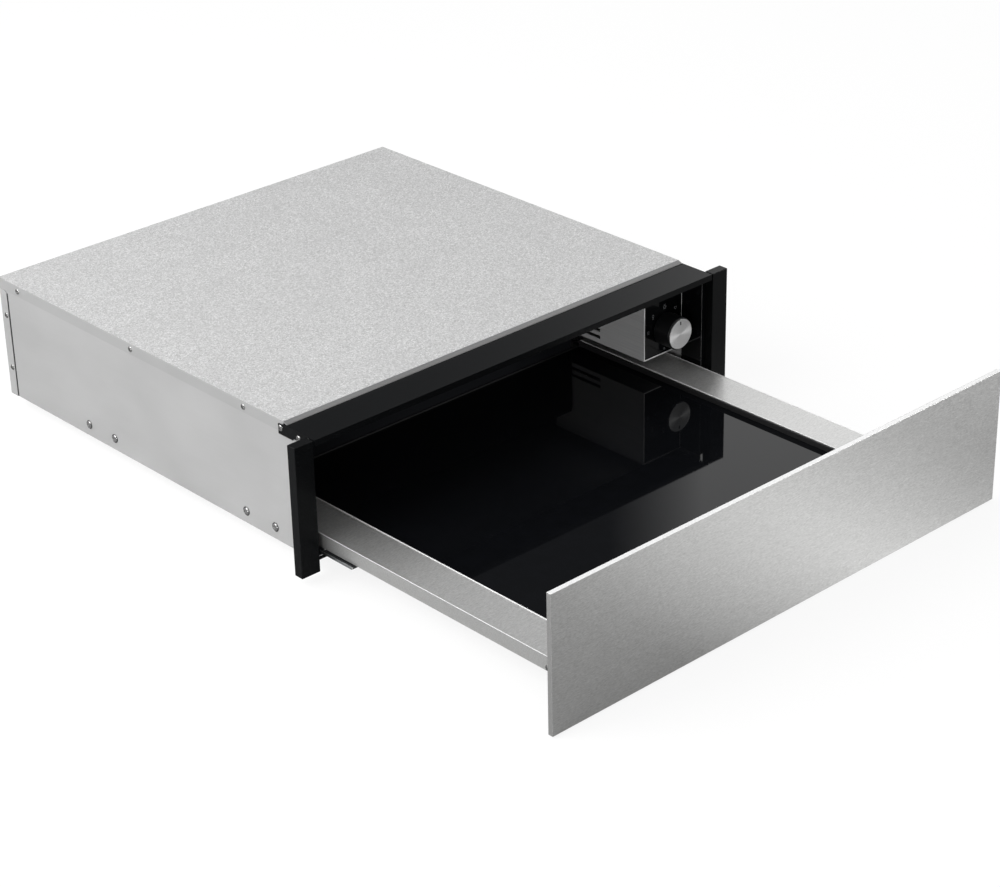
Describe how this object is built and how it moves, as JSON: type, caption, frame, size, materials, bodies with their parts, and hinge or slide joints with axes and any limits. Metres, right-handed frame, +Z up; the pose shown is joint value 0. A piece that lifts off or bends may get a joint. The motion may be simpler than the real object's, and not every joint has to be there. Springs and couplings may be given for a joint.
{
  "type": "built-in warming drawer",
  "caption": "Built-in warming drawer with a steel front, a black glass floor, a galvanised casing and a heater and fan box with a temperature knob, shown pulled out.",
  "frame": {"origin": "the floor under the feet, at the centre of the footprint with the drawer as shown", "axes": "+X to the right seen from the front, +Y to the rear, +Z up"},
  "size_m": [0.594, 0.87, 0.1472],
  "materials": {
    "galvanised_spangle": "hot-dip galvanised, spangled",
    "galvanised_smooth": "galvanised, smooth",
    "black_satin_paint": "satin",
    "black_gloss_paint": "gloss",
    "mirror_steel": "bright stainless",
    "dark_glass_fascia": "gloss",
    "dark_moulding": "fine texture",
    "motor_steel": "plated",
    "fan_moulding": "moulded",
    "heater_sheath": "annealed",
    "pale_ceramic": "glazed",
    "runner_zinc": "zinc plated",
    "nylon": "natural",
    "switch_red": "moulded",
    "rubber": "matt",
    "bright_screws": "nickel plated",
    "brushed_steel": "horizontal grain",
    "board": "fibre board",
    "black_glass": "polished",
    "spun_aluminium": "spun",
    "pointer_black": "printed",
    "shaft_brass": "turned"
  },
  "bodies": {
    "casing": {"top_cover": "galvanised_spangle", "left_side_panel": "galvanised_smooth", "right_side_panel": "galvanised_smooth", "rear_panel": "galvanised_smooth", "base_pan": "galvanised_smooth", "front_header": "black_satin_paint", "left_post": "black_satin_paint", "right_post": "black_satin_paint", "left_post_bracket": "black_gloss_paint", "right_post_bracket": "black_gloss_paint", "front_sill": "black_satin_paint", "control_box": "mirror_steel", "control_fascia": "dark_glass_fascia", "thermostat": "dark_moulding", "fan_motor": "motor_steel", "fan_housing": "motor_steel", "heater_element": "heater_sheath", "thermal_cutout": "motor_steel", "terminal_block": "pale_ceramic", "wire_conduit": "dark_moulding", "mains_gland": "dark_moulding", "left_runner_outer": "galvanised_smooth", "right_runner_outer": "galvanised_smooth", "latch_housing": "dark_moulding", "switch_housing": "dark_moulding", "front_left_foot": "rubber", "front_right_foot": "rubber", "rear_left_foot": "rubber", "rear_right_foot": "rubber", "casing_screws": "bright_screws", "runner_rivets": "bright_screws"},
    "drawer": {"front_panel": "brushed_steel", "panel_core": "board", "panel_back_plate": "black_satin_paint", "panel_buffers": "rubber", "front_crossmember": "galvanised_smooth", "left_drawer_rail": "brushed_steel", "right_drawer_rail": "brushed_steel", "drawer_tray": "galvanised_smooth", "drawer_rear_wall": "black_satin_paint", "glass_floor": "black_glass", "glass_gasket": "rubber", "glass_pads": "rubber", "left_front_bracket": "galvanised_smooth", "right_front_bracket": "galvanised_smooth", "drawer_screws": "bright_screws", "left_runner_inner": "galvanised_smooth", "right_runner_inner": "galvanised_smooth"},
    "left_middle": {"left_runner_middle": "runner_zinc", "left_runner_glides": "nylon"},
    "right_middle": {"right_runner_middle": "runner_zinc", "right_runner_glides": "nylon"},
    "knob": {"knob_body": "dark_moulding", "knob_disc": "spun_aluminium", "knob_pointer": "pointer_black", "thermostat_shaft": "shaft_brass"},
    "fan": {"fan_impeller": "fan_moulding"},
    "plunger": {"latch_plunger": "nylon"},
    "switch": {"switch_button": "switch_red"}
  },
  "joints": [
    {"name": "drawer_slide", "type": "slide", "parent": "casing", "child": "drawer", "axis": [0, 1, 0], "range_m": [-0.06, 0.3365]},
    {"name": "left_middle_slide", "type": "slide", "parent": "casing", "child": "left_middle", "axis": [0, 1, 0], "range_m": [-0.03, 0.16825]},
    {"name": "right_middle_slide", "type": "slide", "parent": "casing", "child": "right_middle", "axis": [0, 1, 0], "range_m": [-0.03, 0.16825]},
    {"name": "knob_turn", "type": "hinge", "parent": "casing", "child": "knob", "pos_m": [0.234, -0.075, 0.082], "axis": [0, 1, 0], "range_deg": [0, 300]},
    {"name": "fan_spin", "type": "hinge", "parent": "casing", "child": "fan", "pos_m": [0.22, 0.0542, 0.1092], "axis": [1, 0, 0], "continuous": true},
    {"name": "latch_press", "type": "slide", "parent": "casing", "child": "plunger", "axis": [0, 1, 0], "range_m": [0, 0.004], "stiffness_N_per_m": 400, "springref_m": -0.004},
    {"name": "switch_press", "type": "slide", "parent": "casing", "child": "switch", "axis": [0, 1, 0], "range_m": [0, 0.003], "stiffness_N_per_m": 300, "springref_m": -0.003}
  ],
  "couplings": [
    {"joint": "left_middle_slide", "follows": "drawer_slide", "ratio": 0.5},
    {"joint": "right_middle_slide", "follows": "drawer_slide", "ratio": 0.5}
  ]
}
